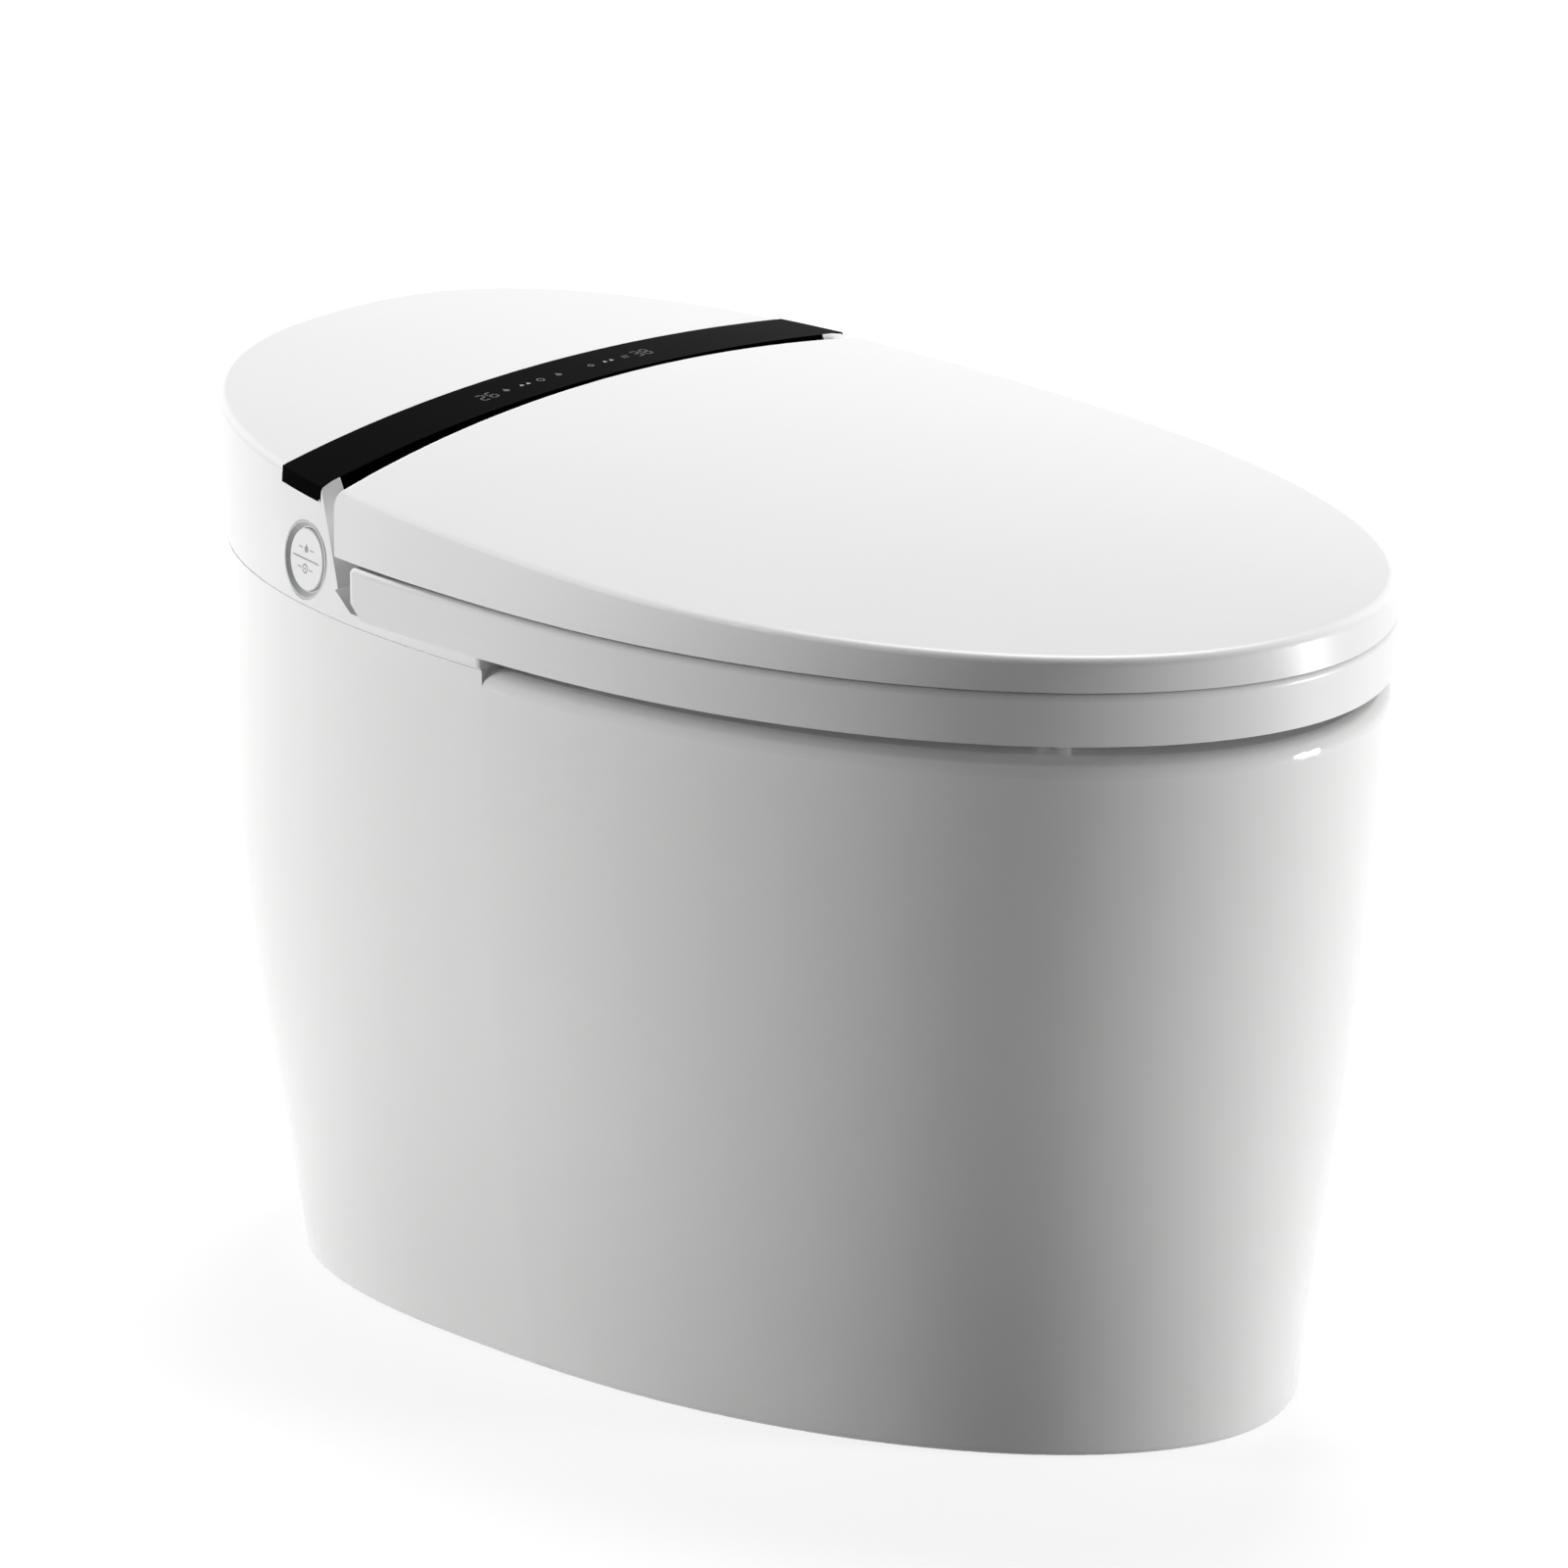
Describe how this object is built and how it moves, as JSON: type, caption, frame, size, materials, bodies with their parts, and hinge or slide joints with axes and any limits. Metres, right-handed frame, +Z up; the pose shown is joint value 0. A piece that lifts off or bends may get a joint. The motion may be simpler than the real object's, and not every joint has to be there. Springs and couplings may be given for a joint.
{
  "type": "smart toilet with heated seat",
  "caption": "Floor-standing tankless toilet with a skirted ceramic body, heated seat, hinged lid, washing wands, drying duct and a dark display strip on its rear housing.",
  "frame": {"origin": "on the floor, below the middle of the whole", "axes": "+Z up, -Y to the front of the bowl, +Y to the wall behind, the flush button on the -X side"},
  "size_m": [0.4238, 0.6859, 0.4489],
  "materials": {
    "glazed_white": "glazed white ceramic",
    "white_plastic": "glossy white plastic",
    "satin_white": "satin white plastic",
    "dark_panel": "glossy dark plastic",
    "circuit_board": "green circuit board",
    "heater_film": "amber film",
    "bumper_rubber": "pale soft rubber",
    "seal_rubber": "black rubber",
    "bracket_steel": "brushed",
    "wand_steel": "fine brushed",
    "button_grey": "grey",
    "machine_grey": "satin",
    "machine_black": "satin",
    "drive_grey": "satin",
    "carbon": "open cells",
    "motor_steel": "painted",
    "brass_tail": "machined",
    "hose_white": "smooth",
    "frame_steel": "galvanised"
  },
  "bodies": {
    "base": {"ceramic_body": "glazed_white", "outlet_seal": "seal_rubber", "outlet_flange": "machine_grey", "housing_shell": "white_plastic", "display_panel": "dark_panel", "display_board": "circuit_board", "hinge_bracket_left": "bracket_steel", "hinge_bracket_right": "bracket_steel", "lid_drive_unit": "drive_grey", "seat_drive_unit": "drive_grey", "hinge_cover": "white_plastic", "hinge_screws": "wand_steel", "button_ring": "button_grey", "button_switch": "machine_black", "nozzle_cradle": "satin_white", "nozzle_motor": "motor_steel", "nozzle_hood": "white_plastic", "dryer_duct": "machine_grey", "chassis_plate": "satin_white", "chassis_screws": "wand_steel", "blower_case": "machine_grey", "blower_motor": "motor_steel", "deodoriser_case": "machine_black", "carbon_cartridge": "carbon", "instant_heater": "satin_white", "wash_pump": "machine_grey", "control_tray": "satin_white", "control_board": "circuit_board", "control_cover": "satin_white", "service_frame": "frame_steel", "booster_tank": "satin_white", "flush_pump": "machine_grey", "pump_motor": "motor_steel", "inlet_valve": "machine_grey", "inlet_tail": "brass_tail", "supply_hose": "hose_white", "link_hose": "hose_white", "jet_hose": "hose_white", "rim_hose": "hose_white", "power_gland": "machine_black"},
    "seat": {"seat_top_shell": "white_plastic", "seat_base": "white_plastic", "seat_heater": "heater_film", "seat_bumpers": "bumper_rubber", "seat_hinge_shaft": "wand_steel"},
    "lid": {"lid_shell": "white_plastic", "lid_panel": "white_plastic", "lid_bumpers": "bumper_rubber", "lid_hinge_shaft": "wand_steel"},
    "button": {"button_cap": "white_plastic", "button_boot": "seal_rubber"},
    "rear_wand": {"rear_wash_wand": "wand_steel", "rear_wash_wand_tip": "white_plastic"},
    "front_wand": {"front_wash_wand": "wand_steel", "front_wash_wand_tip": "white_plastic"},
    "flap": {"dryer_flap": "satin_white"},
    "blower_wheel": {"blower_rotor": "machine_black"},
    "deodoriser_wheel": {"deodoriser_fan": "machine_grey"},
    "pump_wheel": {"pump_impeller": "machine_black"}
  },
  "joints": [
    {"name": "seat_hinge", "type": "hinge", "parent": "base", "child": "seat", "pos_m": [0, 0.135, 0.43], "axis": [1, 0, 0], "range_deg": [-100, 0]},
    {"name": "lid_hinge", "type": "hinge", "parent": "seat", "child": "lid", "pos_m": [0, 0.135, 0.43], "axis": [-1, 0, 0], "range_deg": [0, 100]},
    {"name": "flush_button_press", "type": "slide", "parent": "base", "child": "button", "axis": [0.9684, -0.2275, -0.102], "range_m": [0, 0.0025], "stiffness_N_per_m": 400, "springref_m": -0.002},
    {"name": "rear_wand_slide", "type": "slide", "parent": "base", "child": "rear_wand", "axis": [0, -0.9063, -0.4226], "range_m": [0, 0.09]},
    {"name": "front_wand_slide", "type": "slide", "parent": "base", "child": "front_wand", "axis": [0, -0.9063, -0.4226], "range_m": [0, 0.09]},
    {"name": "dryer_flap_hinge", "type": "hinge", "parent": "base", "child": "flap", "pos_m": [0.058, 0.08919, 0.3604], "axis": [-1, 0, 0], "range_deg": [0, 60], "stiffness_Nm_per_rad": 0.002, "springref_deg": -28.65},
    {"name": "blower_spin", "type": "hinge", "parent": "base", "child": "blower_wheel", "pos_m": [0.09, 0.236, 0.39], "axis": [0, 0, 1], "continuous": true},
    {"name": "deodoriser_spin", "type": "hinge", "parent": "base", "child": "deodoriser_wheel", "pos_m": [-0.076, 0.212, 0.385], "axis": [0, 0, 1], "continuous": true},
    {"name": "pump_spin", "type": "hinge", "parent": "base", "child": "pump_wheel", "pos_m": [-0.092, 0.236, 0.15], "axis": [0, 0, 1], "continuous": true}
  ]
}
